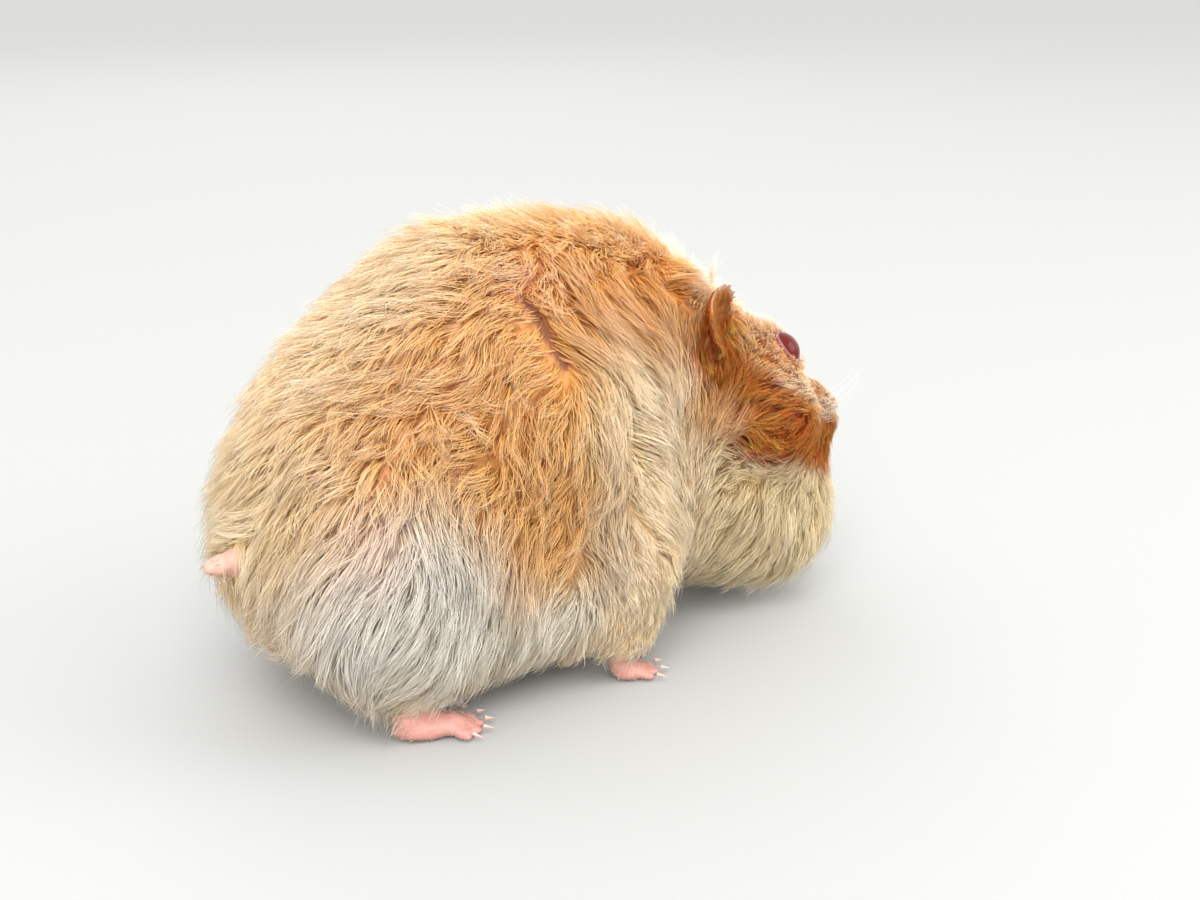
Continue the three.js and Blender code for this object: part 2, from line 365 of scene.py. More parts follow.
# Where the coat differs within a node: the place, its half sizes, and factors on its length,
# curl and clumping.
LOCAL_STYLES = [
    ((-30, -26, 52), (22, 18, 13), (0.9, 1.35, 0.8)),  # woolly flank
    ((6, -24, 56), (10, 14, 20), (1.25, 0.35, 1.2)),  # long strands ahead of the parting
    ((-46, -26, 24), (14, 14, 22), (1.1, 0.7, 1.1)),  # hip
]


def local_styles(p, style):
    for at, radii, factors in LOCAL_STYLES:
        weight = patch(p, at, radii, 0.5)
        for column, factor in zip((LENGTH, CURL, CLUMP), factors):
            style[:, column] *= mix(1.0, factor, weight)
    return style


# How near the eyeball skin is moved, and how deep or high it lies from the opening outwards.
LID_SKIN = {"reach": 1.8, "under": 0.7, "edge": 0.05, "end": 0.2, "beyond": 0.25}


def shape_lids(skin):
    """Draws the skin closely over each eyeball, and under it where the lids are open."""
    for side in "lr":
        offset = skin.points - EYES[side]
        far = np.linalg.norm(offset, axis=1)
        near = far < EYE_RADIUS + LID_SKIN["reach"]
        angle = eye_angle(skin.points, side)
        opened = near & (angle < LID_OPENING)
        lid = near & (angle >= LID_OPENING) & (angle < LID_OPENING + LID_BAND)
        target = far.copy()
        target[opened] = EYE_RADIUS - LID_SKIN["under"]
        fade = np.clip((angle[lid] - LID_OPENING) / LID_BAND, 0, 1)
        wanted = EYE_RADIUS + mix(LID_SKIN["edge"], LID_SKIN["end"], fade)
        target[lid] = mix(wanted, np.maximum(far[lid], wanted), fade)
        covering = near & (angle >= LID_OPENING + LID_BAND)
        target[covering] = np.maximum(target[covering], EYE_RADIUS + LID_SKIN["beyond"])
        skin.points[near] = EYES[side] + unit(offset[near]) * target[near, None]


def shape_nose(skin):
    """Two nostrils, the groove between them and the line of the mouth."""
    x, y, z = ((skin.points - NOSE) @ FACE.T).T
    push = np.zeros(len(x))
    for out in (1, -1):
        push += 0.55 * np.exp(-(((y - 1.05 * out) / 0.5) ** 2 + ((z + 0.1) / 0.42) ** 2)) * (x > -1.5)
    push += 0.35 * np.exp(-((y / 0.35) ** 2)) * smoothstep(0.2, -0.8, z) * (x > -4) * (z > -4)
    mouth = np.exp(-(((z + 4.2 + 0.12 * np.abs(y)) / 0.5) ** 2)) * (np.abs(y) < 4.5) * (x > -6)
    push += 0.4 * mouth
    skin.points -= skin.normals() * push[:, None]


# The fold between neck and shoulder is filled a little.
FOLD = ((18, -20, 42), (9, 13, 17))
FOLD_ROUNDS = 60
FOLD_SHARE = 0.6
STYLE_ROUNDS = 120  # of blurring the coat's style over the borders between nodes
# The skin is smoothed, then pushed in by the coat's depth in steps, with smoothing after each.
# The shares are those on feet, on other bare places and under the coat.
FIRST_ROUNDS, FIRST_SHARES = 8, np.array([0.08, 0.35, 0.55])
PUSH_STEPS, PUSH_ROUNDS, PUSH_SHARES = 4, 2, np.array([0.03, 0.03, 0.4])


def skin_kinds(skin, points, faces, owners):
    """The kind of node that each vertex of the skin is nearest to."""
    solids = BVHTree.FromPolygons(points.tolist(), faces.tolist())
    nearest = np.array([solids.find_nearest(Vector(p))[2] for p in skin.points])
    kinds = np.array([kind_of(node) for node in BODY_NODES])[owners[nearest]]
    kinds[kinds == "eye"] = "head"
    return kinds


def skin_style(skin, kinds, bare):
    """What the coat is like at each vertex of the skin."""
    style = np.array([STYLES[k] for k in kinds])
    on_head = kinds == "head"
    style[on_head] = face_style(skin.points[on_head], style[on_head])
    style[~bare] = local_styles(skin.points[~bare], style[~bare])
    fixed = style[bare].copy()
    for _ in range(STYLE_ROUNDS):
        style = skin.around(style)
        style[bare] = fixed
    return style


def build_skin():
    points, faces, owners = joined_nodes(BODY_NODES)
    skin = Surface(remeshed(points, faces))
    kinds = skin_kinds(skin, points, faces, owners)
    bare = np.isin(kinds, BARE)
    style = skin_style(skin, kinds, bare)
    place = np.where(np.isin(kinds, FEET), 0, np.where(bare, 1, 2))
    skin.smooth(FIRST_ROUNDS, FIRST_SHARES[place, None])
    for _ in range(PUSH_STEPS):
        skin.points -= skin.normals() * style[:, [DEPTH]] / PUSH_STEPS
        skin.smooth(PUSH_ROUNDS, PUSH_SHARES[place, None])
    fill = patch(skin.points, *FOLD, 0.6) * ~bare * FOLD_SHARE
    skin.smooth(FOLD_ROUNDS, fill[:, None])
    shape_lids(skin)
    shape_nose(skin)
    return skin, style, kinds


skin, style, kinds = build_skin()
skin_normals = skin.normals()


# ---- Markings ----
# Patches of the body's coat, each over those before it: its colour, middle and half sizes, how
# soft its edge is and how strong it is. They are given on the right, for both sides.
BODY_MARKINGS = [
    ("orange", (-16, -22, 64), (32, 15, 15), 0.6, 0.7),  # back and upper flank
    ("orange", (8, -14, 72), (16, 14, 12), 0.6, 0.7),  # back behind the nape
    ("pale_gold", (-38, 0, 66), (27, 12, 18), 0.5, 0.75),  # rump along the midline
    ("pale_gold", (-4, 0, 81), (22, 14, 5), 0.6, 0.1),  # crest
    ("orange", (-28, -26, 52), (20, 14, 9), 0.6, 0.7),  # flank over the haunch
    ("orange", (-13, -29, 40), (11, 12, 10), 0.6, 0.6),  # flank behind the foreleg
    ("orange", (-16, -30, 30), (7, 10, 12), 0.6, 0.65),  # tongue between hip and foreleg
    ("deep_orange", (4, -24, 65), (9, 10, 8), 0.5, 0.8),  # ahead of the parting
    ("pale_gold", (9, -24, 43), (13, 12, 14), 0.5, 0.9),  # pale shoulder
    ("deep_orange", (17, -16, 62), (9, 16, 11), 0.5, 0.85),  # neck
    ("pale_gold", (-54, -10, 46), (10, 22, 12), 0.6, 0.5),  # rump below its crest
    ("cream", (-57, -4, 30), (9, 26, 18), 0.5, 0.5),  # rear edge of the rump
    ("white_cream", (-39, -30, 20), (17, 15, 19), 0.45, 0.95),  # hip
    ("white_cream", (-52, -18, 15), (11, 12, 12), 0.6, 0.5),  # behind the hip
    ("low_white_painted_bounce", (-10, -26, 8), (24, 16, 12), 0.5, 0.85),  # lower flank: pale fur, lighter still as painted light bounced up from below
    ("leg_cream", (3, -28, 20), (9, 9, 20), 0.45, 0.85),  # foreleg
    ("pale_gold", (17, -22, 35), (13, 14, 13), 0.5, 0.95),  # below the neck
    ("cream", (0, 0, 3), (60, 34, 14), 0.5, 0.7),  # belly
    ("cream", (-57, -5, 30), (7, 7, 6), 0.6, 0.8),  # round the tail
    ("skin_pink", (-10, -18, 72), (7, 7, 5), 0.7, 0.4),  # thin coat at the top of the parting
    ("skin_pink", (-44, -28, 34), (6, 9, 7), 0.7, 0.3),  # thin coat on the hip
]


def cheek_patch(local):
    """The brown patch from the ear over the cheek to the muzzle, in the face's frame."""
    x, z = local[:, 0], local[:, 2]
    side = smoothstep(3.0, 6.5, np.abs(local[:, 1]))
    below_ear = smoothstep(-27, -24, x) * smoothstep(-18.5, -16, z)
    behind = smoothstep(-1.2, 1.2, 0.734 * (x + 12) + 0.678 * (z + 16.9))
    lower = smoothstep(-1.3, 1.3, z + 23.4 - 0.26 * (x + 4.6))
    edge = mix(-1.5, -9.0 - 0.17 * (x + 10), smoothstep(-17, -13, x))
    upper = smoothstep(1.2, -1.2, z - edge)
    muzzle = smoothstep(9, 13, x) * smoothstep(-2, -4, z)
    ahead = smoothstep(21, 18, x)
    return np.maximum(below_ear, behind) * lower * np.maximum(upper, muzzle) * ahead * side


# The middle of the pale stripe on the face's right, in its frame, and its reach.
STRIPE = np.array([(-4, -17, -8.8), (4, -14.6, -7.4), (11, -12, -6.1), (17, -8, -3.8), (20, -4, -3.2)])
STRIPE_REACH = 2.4


def distance_to_path(p, path):
    """The least distance from each point to a path of straight pieces."""
    least = np.full(len(p), np.inf)
    for a, b in zip(path[:-1], path[1:]):
        share = np.clip((p - a) @ (b - a) / ((b - a) @ (b - a)), 0, 1)[:, None]
        least = np.minimum(least, np.linalg.norm(p - mix(a, b, share), axis=1))
    return least


def muzzle_stripe(local):
    """The pale stripe under the eye, from the cheek to the nose."""
    q = local * np.where(local[:, 1:2] > 0, [1, -1, 1], [1, 1, 1])
    return smoothstep(STRIPE_REACH + 0.9, STRIPE_REACH - 0.9, distance_to_path(q, STRIPE))


def coat_colour(p, kinds):
    colour = np.tile(linear("golden"), (len(p), 1))
    for name, at, radii, soft, strength in BODY_MARKINGS:
        colour = tinted(colour, name, patch(p, at, radii, soft) * strength)
    chest = smoothstep(18, 26, p[:, 0]) * smoothstep(38, 31, p[:, 2] + 0.25 * (p[:, 0] - 30))
    colour = tinted(colour, "cream", chest * 0.92)
    local = to_face(p)
    in_head = smoothstep(-31, -27, local[:, 0])
    behind_ear = smoothstep(-24, -18, local[:, 0])
    under = smoothstep(-21, -24, local[:, 2] - 0.26 * (local[:, 0] + 4.6))
    colour = tinted(colour, "deep_orange", behind_ear * (1 - under) * 0.75)
    # Pale fur under the ear, made lighter behind, towards the fold between neck and shoulder, as painted
    # light against the fold's shade.
    below = mix(linear("pale_gold"), linear("cream"), smoothstep(-14, 0, local[:, 0])[:, None])
    colour = mix(colour, below, (behind_ear * under * 0.9)[:, None])
    colour = tinted(colour, "russet", cheek_patch(local) * in_head)
    colour[kinds == "ear"] = linear("russet")
    colour[kinds == "tail"] = linear("tail_pink")
    # Painted shade: strands along the parting are darkened, like the shade in the parting's gap.
    _, near = parting(p)
    colour = tinted(colour, "parting_shade_russet", smoothstep(0.62, 0.85, near) * 0.8)
    return tinted(colour, "muzzle", muzzle_stripe(local) * 0.9)


# Pinkish skin showing through a thin coat on the right: its middle, reach and strength.
THIN_COAT = [((-42, -28, 37), 4.0, 0.6), ((-47, -28, 30), 5.0, 0.7), ((-12, -19, 71), 4.0, 0.75)]


def thin_coat(p):
    total = np.zeros(len(p))
    for at, reach, strength in THIN_COAT:
        far = np.linalg.norm(p - np.array(at), axis=1)
        total = np.maximum(total, strength * np.exp(-((far / reach) ** 2)))
    return total


# The bare root of the tail: how far ahead of its middle it reaches, and how far out from it.
TAIL_ROOT = {"ahead": 8, "out": 2.2}


def round_tail(p):
    """The skin around the root of the tail."""
    off_tail = np.linalg.norm((p - TAIL)[:, 1:], axis=1)
    return (p[:, 0] < TAIL[0] + TAIL_ROOT["ahead"]) & (off_tail < TAIL_ROOT["out"])


# The skin under the coat: how its colour comes from the coat's, darkened as painted shade of the
# gaps between strands, and how pink it is, all over and where the coat is thin.
UNDER_COAT_PAINTED_SHADE = {"power": 1.25, "share": 0.78, "pink": 0.05, "thin": 0.85}


def skin_colour(p, normals, kinds):
    """The coat's own colour, darkened as painted shade of the gaps between strands, with bare skin where
    the coat is thin or missing.
    """
    # Painted shade: the coat's colour is darkened here to look like the shade between strands.
    colour = coat_colour(p, kinds) ** UNDER_COAT_PAINTED_SHADE["power"] * UNDER_COAT_PAINTED_SHADE["share"]
    pink = UNDER_COAT_PAINTED_SHADE["pink"] + UNDER_COAT_PAINTED_SHADE["thin"] * thin_coat(p)
    colour = tinted(colour, "skin_pink", pink)
    plain = {"forefoot": "paw_pink", "hindfoot": "paw_pink", "tail": "tail_pink", "nose": "nose_pink"}
    for kind, name in plain.items():
        colour[kinds == kind] = linear(name)
    colour[round_tail(p)] = linear("tail_pink")
    # Painted shade: the nostrils and the groove under them are darkened like the shade in these hollows.
    colour = tinted(colour, "nostril", nostrils(p))
    ear = kinds == "ear"
    inner = ear_inside(p[ear], normals[ear])[:, None]
    colour[ear] = mix(linear("russet"), linear("ear_grey"), inner)
    for side in "lr":
        rim = smoothstep(LID_OPENING + LID_RIM, LID_OPENING, eye_angle(p, side))
        colour = tinted(colour, "lid", rim * (off_eye(p, side) < LID_REACH))
    return colour


def nostrils(p):
    """How much of a point lies in either nostril or in the groove under them, which are darkened as
    painted shade of these hollows.
    """
    x, y, z = ((p - NOSE) @ FACE.T).T
    total = 0.7 * np.exp(-((y / 0.3) ** 2)) * smoothstep(-0.3, -0.9, z) * (z > -3)
    for out in (1, -1):
        total += np.exp(-(((y - 0.95 * out) / 0.5) ** 2 + ((z + 0.2) / 0.4) ** 2))
    return np.clip(total, 0, 1) * smoothstep(-1.2, -0.4, x)


def ear_inside(p, normals):
    """Where an ear's skin faces the way that the ear opens."""
    out = np.sign(to_face(p)[:, 1])[:, None]
    opening = unit(np.array([0.6, 0, -0.2]) @ FACE + out * 0.7 * FACE_Y)
    return smoothstep(-0.1, 0.5, (normals * opening).sum(1))


# ---- The lie of the coat ----
# Which way the coat lies: a direction, where it holds, how softly it ends and how strongly.
BODY_LIE = [
    ((-0.3, 0, -1.0), (-52, 0, 36), (16, 40, 40), 0.5, 0.9),  # rump
    ((-0.5, 0, -0.95), (-34, -28, 28), (20, 16, 26), 0.5, 0.95),  # haunch
    ((0.42, 0, -0.95), (6, -24, 56), (14, 14, 20), 0.4, 0.9),  # shoulder, forward of the parting
    ((-0.05, 0, -1.0), (4, -26, 16), (12, 12, 24), 0.4, 0.95),  # foreleg
    ((-0.15, 0, -1.0), (20, -18, 50), (10, 18, 22), 0.4, 0.8),  # neck
    ((-0.35, 0, -0.95), (42, 0, 20), (24, 26, 22), 0.4, 0.95),  # ruff
]
PARTING = {"top": (-12.0, 72.0), "bottom": (-6.5, 57.0), "reach": 3.5}  # (x, z) on the right side


def parting(p):
    """Signed distance ahead of the parting on the right flank, and how much it tells there."""
    (x0, z0), (x1, z1) = PARTING["top"], PARTING["bottom"]
    share = (z0 - p[:, 2]) / (z0 - z1)
    ahead = p[:, 0] - mix(x0, x1, share)
    window = smoothstep(0.05, 0.35, share) * smoothstep(1.15, 0.95, share) * (p[:, 1] < -6)
    return ahead, window * np.exp(-np.abs(ahead) / PARTING["reach"])


# How far off an eye the coat is turned, by how much, and how much of it is turned back.
EYE_PART = {"reach": 2.4, "out": 0.45, "turn": 1.1}
# The coat lies back and down, and the face's away from the nose, a little down and back.
BACK_AND_DOWN = [-0.85, 0.0, -0.5]
FACE_DROOP = np.array([-0.1, 0, -0.35])
WAVER = {"strength": 0.28, "period": 17, "seeds": (3, 4, 5)}
PARTING_TURN = 1.3


def around_eyes(p, v):
    """Turns the coat aside where it would lie over an eye."""
    for side in "lr":
        offset = p - EYES[side]
        axis = eye_axis(side)
        outward = unit(offset - (offset @ axis)[:, None] * axis)
        near = np.exp(-((np.maximum(off_eye(p, side), 0) / EYE_PART["reach"]) ** 2))
        inward = np.minimum((v * outward).sum(1), 0)
        v = v + outward * ((EYE_PART["out"] - EYE_PART["turn"] * inward) * near)[:, None]
    return v


def lie(p, normals):
    """Which way the coat lies at places on the skin."""
    v = np.tile(BACK_AND_DOWN, (len(p), 1))
    for direction, at, radii, soft, strength in BODY_LIE:
        v = mix(v, np.array(direction), (patch(p, at, radii, soft) * strength)[:, None])
    away = unit(p - NOSE) + FACE_DROOP
    in_head = smoothstep(-20, -10, to_face(p)[:, 0])[:, None]
    v = mix(v, away, in_head)
    ahead, near = parting(p)
    v[:, 0] += PARTING_TURN * np.sign(ahead) * near
    v += WAVER["strength"] * np.stack([ripple(p, WAVER["period"], seed) for seed in WAVER["seeds"]], 1)
    v = around_eyes(p, v)
    tangent = v - (v * normals).sum(1, keepdims=True) * normals
    return unit(tangent)


# ---- Coat ----
def unwrap(obj):
    bpy.context.view_layer.objects.active = obj
    obj.select_set(True)
    bpy.ops.object.mode_set(mode="EDIT")
    bpy.ops.mesh.select_all(action="SELECT")
    bpy.ops.uv.smart_project(angle_limit=math.radians(66), island_margin=0.002)
    bpy.ops.object.mode_set(mode="OBJECT")
    obj.data.uv_layers[0].name = "OFBake"
    return read(obj.data.uv_layers["OFBake"].data, "uv", 2, np.float32)


class Roots:
    """Places chosen at random on the skin with a given density, and what it is like there."""

    def __init__(self, count, weight, uv):
        chance = skin.per_triangle(weight)
        face = rng.choice(len(chance), count, p=chance / chance.sum())
        u, v = np.sqrt(rng.random(count)), rng.random(count)
        self.share = np.stack([1 - u, u * (1 - v), u * v], 1)[:, :, None]
        corners = skin.triangles[face]
        self.points = (skin.points[corners] * self.share).sum(1)
        self.normals = unit((skin_normals[corners] * self.share).sum(1))
        self.style = (style[corners] * self.share).sum(1)
        self.kinds = kinds[corners[:, 0]]
        self.uv = (uv[skin.triangle_loops[face]] * self.share).sum(1)


def turned(v, axis, angle):
    c, s = np.cos(angle)[:, None], np.sin(angle)[:, None]
    return v * c + np.cross(axis, v) * s + axis * (axis * v).sum(1, keepdims=True) * (1 - c)


# Where tips stand up: the place, its half sizes and the share of the coat's depth in the tips.
TIP_LIFT = 0.2
LIFTS = [
    ((2, 0, 79), (18, 18, 9), 0.5),  # tufts on the crest of the back
    ((32, -6, 62), (9, 12, 8), 0.9),  # tufts between the ears
    ((-56, 0, 30), (12, 30, 24), 0.4),  # rump's edge
    ((-44, -28, 18), (14, 12, 14), 0.18),  # hip's fringe
]


def lift(p):
    total = np.full(len(p), TIP_LIFT)
    for at, radii, share in LIFTS:
        total += patch(p, at, radii, 0.6) * (share - TIP_LIFT)
    return total


def eye_brow(p):
    """Hair stands up around each eye, and most behind it."""
    total = np.zeros(len(p))
    for side in "lr":
        offset = (p - EYES[side]) @ FACE.T
        far = np.linalg.norm(offset, axis=1) - EYE_RADIUS
        behind = 0.6 + 0.7 * smoothstep(1, -3, offset[:, 0])
        total += behind * np.exp(-((far - 1.0) / 2.0) ** 2) * (eye_angle(p, side) > LID_OPENING)
    return total


# The fold over the haunch on the right, where the coat lies lower, and its reach.
CREASE = np.array([(-50, -14, 47), (-40, -22, 46.5), (-28, -27, 45.6)])
CREASE_REACH = 2.2


def crease(p):
    return np.exp(-((distance_to_path(p, CREASE) / CREASE_REACH) ** 2))


# How much locks differ, as ranges or as spreads about nought, and where they rise or dip.
LOCK_REACH = (0.75, 1.15)
LOCK_SWING = 0.2
LOCK_CURL = 1.1
LOCK_RISE = (0.92, 1.10)
LOCK_STAND = (0.5, 1.5)
RELIEF = {"strength": 0.07, "period": 9, "seed": 21}
BROW_RISE = 0.9
PARTING_DIP = 0.35
CREASE_DIP = 0.4


def lock_heights(locks):
    """How high each lock rises over the skin, and how much higher its tip stands."""
    count = len(locks.points)
    relief = 1 + RELIEF["strength"] * ripple(locks.points, RELIEF["period"], RELIEF["seed"])
    rise = (locks.style[:, DEPTH] + 0.3) * rng.uniform(*LOCK_RISE, count) * relief
    tips = lift(locks.points) * smoothstep(1, 6, locks.style[:, LENGTH])
    stand = rise * tips * rng.uniform(*LOCK_STAND, count)
    rise = rise * (1 - tips) + BROW_RISE * eye_brow(locks.points)
    _, near = parting(locks.points)
    rise *= (1 - PARTING_DIP * near) * (1 - CREASE_DIP * crease(locks.points))
    return rise, stand


def grow_guides(locks, tree):
    """The path of each lock over the skin, and how high it stands on the way."""
    count = len(locks.points)
    reach = locks.style[:, LENGTH] * rng.uniform(*LOCK_REACH, count)
    swing = rng.normal(0, LOCK_SWING, count) * (0.5 + locks.style[:, CURL])
    curl = rng.normal(0, LOCK_CURL, count) * locks.style[:, CURL]
    rise, stand = lock_heights(locks)
    base, normal = locks.points.copy(), locks.normals.copy()
    ground = np.empty((count, GUIDE_STEPS + 1, 3))
    above = np.empty((count, GUIDE_STEPS + 1, 3))
    ground[:, 0] = base
    above[:, 0] = -0.3 * normal
    for k in range(1, GUIDE_STEPS + 1):
        t = k / GUIDE_STEPS
        way = turned(lie(base, normal), normal, swing + curl * (t - 0.35))
        step = reach / GUIDE_STEPS * mix(0.55, 1.0, t)
        ahead_of = base + way * step[:, None]
        for i, point in enumerate(ahead_of):
            at, up, _, _ = tree.find_nearest(Vector(point))
            base[i] = at
            normal[i] = up
        height = rise * math.sin(math.pi / 2 * min(1.0, t * 1.25)) ** 0.8 + stand * t * t
        ground[:, k] = base
        above[:, k] = normal * height[:, None]
    return ground, above


def sample_path(path, t):
    """The places at share t along each path."""
    x = np.clip(t, 0, 1) * GUIDE_STEPS
    k = np.minimum(x.astype(int), GUIDE_STEPS - 1)
    rows = np.arange(len(path))
    return mix(path[rows, k], path[rows, k + 1], (x - k)[:, None])


# How much strands differ from their locks. A few are wilder than most.
STRAND_TIGHTNESS = (0.4, 1.5)
STRAND_REACH = (0.72, 1.08)
STRAND_HEIGHT = (0.76, 1.08)
STRAND_GIRTH = (0.7, 1.3)
WILDNESS = {"values": [0.05, 0.15], "shares": [0.85, 0.15]}
NORMAL_OFFSET = 2  # keeps an ear's two faces apart when the nearest lock is sought


def nearest_locks(roots, locks):
    tree = KDTree(len(locks.points))
    for i, p in enumerate(locks.points + locks.normals * NORMAL_OFFSET):
        tree.insert(Vector(p), i)
    tree.balance()
    return np.array([tree.find(Vector(p))[1] for p in roots.points + roots.normals * NORMAL_OFFSET])


def grow_strands(roots, locks, guides):
    """The middle line of each strand: near its lock's path, drawn in towards it, a little wild."""
    lock = nearest_locks(roots, locks)
    count = len(roots.points)
    offset = roots.points - locks.points[lock]
    tight = np.clip(roots.style[:, CLUMP] * rng.uniform(*STRAND_TIGHTNESS, count), 0, 0.95)
    reach = rng.uniform(*STRAND_REACH, count)
    height = rng.uniform(*STRAND_HEIGHT, count)
    under = rng.random(count) < UNDERCOAT["share"]
    reach[under] *= UNDERCOAT["reach"]
    height[under] *= UNDERCOAT["height"]
    width = roots.style[:, WIDTH] * rng.uniform(*STRAND_GIRTH, count)
    width[under] = roots.style[under, LENGTH] * UNDERCOAT["width"]
    wild = unit(rng.normal(size=(count, 3)))
    wildness = roots.style[:, LENGTH] * rng.choice(WILDNESS["values"], count, p=WILDNESS["shares"])
    ground, above = guides

    def middle_line(rows, shares):
        line = np.empty((len(rows), len(shares), 3))
        for k, t in enumerate(shares):
            on_skin = sample_path(ground[lock[rows]], reach[rows] * t)
            over = sample_path(above[lock[rows]], reach[rows] * t) * height[rows, None]
            drawn = offset[rows] * (1 - tight[rows] * t**0.7)[:, None]
            line[:, k] = on_skin + over + drawn + wild[rows] * (wildness[rows] * t * t)[:, None]
        floor = FLOOR_CLEARANCE + 0.3 * rng.random((len(rows), 1))
        line[:, :, 2] = np.maximum(line[:, :, 2], floor)
        return line

    return middle_line, width, lock, under


def strand_mesh(name, line, shares, girth, width, normals, colours, uv):
    """Closed, tapered strands along the given middle lines, as one mesh."""
    count, rings = len(line), len(shares)
    along = np.empty_like(line)
    along[:, 1:-1] = line[:, 2:] - line[:, :-2]
    along[:, 0] = line[:, 1] - line[:, 0]
    along[:, -1] = line[:, -1] - line[:, -2]
    along = unit(along)
    side = unit(np.cross(along, normals[:, None, :]))
    up = np.cross(side, along)
    points = np.empty((count, rings * STRAND_SIDES + 1, 3))
    for k in range(rings):
        for s in range(STRAND_SIDES):
            angle = 2 * math.pi * s / STRAND_SIDES + math.pi / 6
            ring = side[:, k] * math.cos(angle) + up[:, k] * math.sin(angle)
            points[:, k * STRAND_SIDES + s] = line[:, k] + ring * (width * girth[k] / 2)[:, None]
    points[:, -1] = line[:, -1]
    points[:, :, 2] = np.maximum(points[:, :, 2], STRAND_CLEARANCE)

    faces = [[2, 1, 0]]
    for k in range(rings - 1):
        for s in range(STRAND_SIDES):
            a, b = k * STRAND_SIDES + s, k * STRAND_SIDES + (s + 1) % STRAND_SIDES
            faces.append([a, b, b + STRAND_SIDES, a + STRAND_SIDES])
    last = (rings - 1) * STRAND_SIDES
    faces += [[last + s, last + (s + 1) % STRAND_SIDES, last + STRAND_SIDES] for s in range(STRAND_SIDES)]
    one = np.array([v for face in faces for v in face])
    sizes = np.array([len(face) for face in faces])
    per = points.shape[1]
    loops = (one + per * np.arange(count)[:, None]).ravel()
    first = np.concatenate([[0], np.cumsum(sizes)[:-1]])
    starts = (first + len(one) * np.arange(count)[:, None]).ravel()
    mesh = mesh_from(name, points.reshape(-1, 3), loops, starts)

    share = np.concatenate([np.repeat(shares, STRAND_SIDES), [1.0]])
    at_root, at_tip = colours
    shade = at_root[:, None] * (1 - share)[:, None] + at_tip[:, None] * share[:, None]
    paint(mesh, "Markings", shade.reshape(-1, 3))
    across = np.concatenate([np.tile(np.arange(STRAND_SIDES), rings) / (STRAND_SIDES - 1), [0.5]])
    place = np.stack([across - 0.5, share - 0.5], 1) * TUFT_PATCH
    layer = mesh.uv_layers.new(name="OFBake")
    spread = uv[:, None] + place[one]
    layer.data.foreach_set("uv", spread.astype(np.float32).ravel())
    return mesh


STREAKS = ((4, -25, 54), (12, 12, 18))  # where some locks are pale: ahead of the parting
STREAK_LOCKS = 0.25
STREAK_STRENGTH = 0.5
SHOWN = (0.45, 0.85)  # where along a strand its two colours are taken from
TONE_SPREAD = 0.03  # of locks, of strands and over the body
PALE_TIP = 0.2


def strand_colours(roots, tips, lock, locks):
    """Root and tip colour of each strand, with each lock and each strand a little different.
    Both are the markings' colours where the strand shows, near its middle and its tip."""
    count = len(roots.points)
    base, outer = (
        coat_colour(mix(roots.points, tips, shown), roots.kinds) ** STRAND_GAMMA for shown in SHOWN
    )
    lock_tone = rng.normal(0, TONE_SPREAD, len(locks.points))[lock]
    own_tone = rng.normal(0, TONE_SPREAD, count)
    tone = 1 + lock_tone + own_tone + TONE_SPREAD * ripple(roots.points, 22, 9)
    tip = outer * tone[:, None]
    pale = rng.random(count) ** 2 * PALE_TIP
    tip = tip * (1 + pale[:, None])
    streaked = (rng.random(len(locks.points)) < STREAK_LOCKS)[lock]
    streak = streaked * patch(roots.points, *STREAKS, 0.5)
    tip = tinted(tip, "pale_gold", streak * STREAK_STRENGTH)
    root = base * tone[:, None]
    return root, tip


RUMP_END = -30  # where the rump ends along the animal
BACK_LOW = 52  # where the back begins over the flank


def piece_names(roots):
    """Parts the coat into pieces by what a strand grows from and which side it is on."""
    p = roots.points
    side = np.where(p[:, 1] > 0, "l", "r")
    region = roots.kinds.astype("<U12")
    is_trunk = region == "trunk"
    ahead = p[:, 0] >= RUMP_END
    high = p[:, 2] > BACK_LOW
    region[is_trunk & ~ahead] = "rump"
    region[is_trunk & ahead & high] = "back"
    region[is_trunk & ahead & ~high] = "flank"
    region[np.isin(region, BARE)] = "fine"
    return np.char.add(np.char.add("coat_", region), np.char.add("_", side))


# ---- Materials ----
def set_inputs(node, values):
    """Sets constants on a node's sockets."""
    for name, value in values.items():
        node.inputs[name].default_value = value


def new_material(name):
    material = bpy.data.materials.new(name)
    material.use_nodes = True
    nodes = material.node_tree.nodes
    return material, nodes, material.node_tree.links, nodes["Principled BSDF"]


def show_markings(nodes, links, shader):
    colour = nodes.new("ShaderNodeVertexColor")
    colour.layer_name = "Markings"
    links.new(colour.outputs["Color"], shader.inputs["Base Color"])


def coat_material():
    material, nodes, links, shader = new_material("coat")
    show_markings(nodes, links, shader)
    set_inputs(shader, {
        "Roughness": 0.62,
        "Specular IOR Level": 0.12,
        "Subsurface Weight": 0.85,
        "Subsurface Radius": (1.0, 1.0, 1.0),
        "Subsurface Scale": 0.0004,
    })
    return material


def grain(nodes, links, settings):
    """Noise that is fixed to the object."""
    place = nodes.new("ShaderNodeTexCoord")
    noise = nodes.new("ShaderNodeTexNoise")
    set_inputs(noise, settings)
    links.new(place.outputs["Object"], noise.inputs["Vector"])
    return noise.outputs["Fac"]


def skin_material():
    material, nodes, links, shader = new_material("skin")
    show_markings(nodes, links, shader)
    bump = nodes.new("ShaderNodeBump")
    set_inputs(bump, {"Strength": 0.35, "Distance": 0.0003})
    links.new(grain(nodes, links, {"Scale": 1600, "Detail": 4}), bump.inputs["Height"])
    links.new(bump.outputs["Normal"], shader.inputs["Normal"])
    set_inputs(shader, {
        "Roughness": 0.55,
        "Subsurface Weight": 0.15,
        "Subsurface Radius": (1.0, 0.5, 0.35),
        "Subsurface Scale": 0.0006,
    })
    return material


